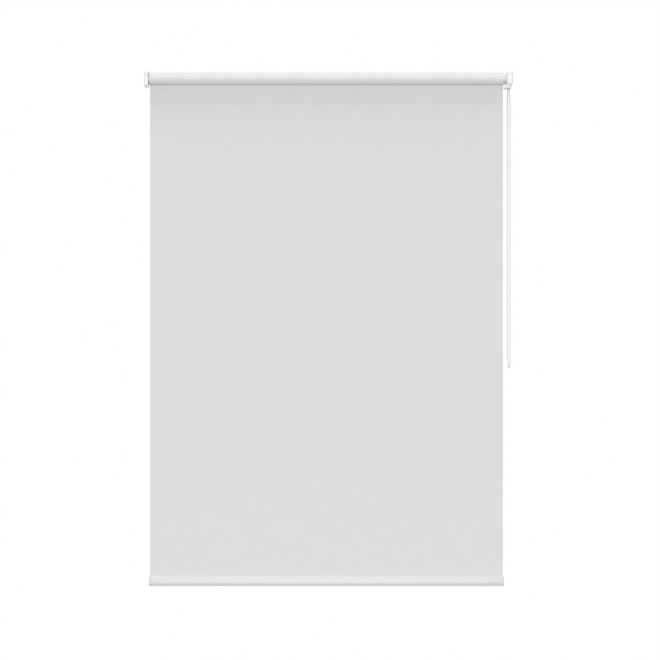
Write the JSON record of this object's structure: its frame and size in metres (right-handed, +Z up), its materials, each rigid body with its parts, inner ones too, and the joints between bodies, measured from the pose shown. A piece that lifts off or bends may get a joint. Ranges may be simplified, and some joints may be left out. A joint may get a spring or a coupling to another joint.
{
  "type": "roller blind",
  "caption": "Wall-mounted roller blind: pale fabric on a tube between two covered brackets, a bead-chain clutch at the right end and a hollow bottom bar.",
  "frame": {"origin": "on the wall plane, midway along the fabric, at the height of the roller's axis", "axes": "+Z up, +X to the right seen from the room, +Y into the wall; the front faces -Y"},
  "size_m": [0.9354, 0.0495, 1.3115],
  "materials": {
    "bracket_steel": "white powder-coated pressed steel",
    "cover_plastic": "white moulded plastic, satin gloss",
    "clutch_plastic": "white moulded plastic",
    "chain_plastic": "white plastic beads on a polyester thread",
    "roller_aluminium": "mill-finish extruded aluminium",
    "spring_steel": "bright spring steel wire and strip",
    "blind_fabric": "pale grey-white plain-weave polyester",
    "fixing_plastic": "white extruded plastic",
    "bar_aluminium": "white powder-coated extruded aluminium"
  },
  "bodies": {
    "root": {"left_bracket": "bracket_steel", "left_bracket_cover": "cover_plastic", "right_bracket": "bracket_steel", "right_bracket_cover": "cover_plastic", "clutch_base": "clutch_plastic", "clutch_end_clip": "spring_steel", "chain_guard": "clutch_plastic", "bead_chain": "chain_plastic", "fabric_panel": "blind_fabric"},
    "roller": {"roller_tube": "roller_aluminium", "fabric_spline": "fixing_plastic", "fabric_roll": "blind_fabric", "idle_plug": "clutch_plastic", "idle_plug_cap": "clutch_plastic", "idle_spring": "spring_steel", "drive_plug": "clutch_plastic", "chain_wheel": "clutch_plastic", "clutch_spring_inner": "spring_steel", "clutch_spring_outer": "spring_steel"},
    "idle_pin": {"idle_pin": "spring_steel"},
    "bottom_bar": {"bottom_bar": "bar_aluminium", "hem_rod": "fixing_plastic", "bar_cap_left": "cover_plastic", "bar_cap_right": "cover_plastic"}
  },
  "joints": [
    {"name": "roller_spin", "type": "hinge", "parent": "root", "child": "roller", "pos_m": [0, -0.03, 0], "axis": [1, 0, 0], "range_deg": [0, 4140]},
    {"name": "bar_lift", "type": "slide", "parent": "root", "child": "bottom_bar", "axis": [0, 0, 1], "range_m": [0, 1.2291], "deforming": ["fabric_panel"]},
    {"name": "idle_pin_slide", "type": "slide", "parent": "roller", "child": "idle_pin", "axis": [1, 0, 0], "range_m": [0, 0.006], "stiffness_N_per_m": 400, "springref_m": -0.012, "deforming": ["idle_spring"]}
  ],
  "couplings": [
    {"joint": "bar_lift", "follows": "roller_spin", "m_per_rad": 0.01701}
  ]
}
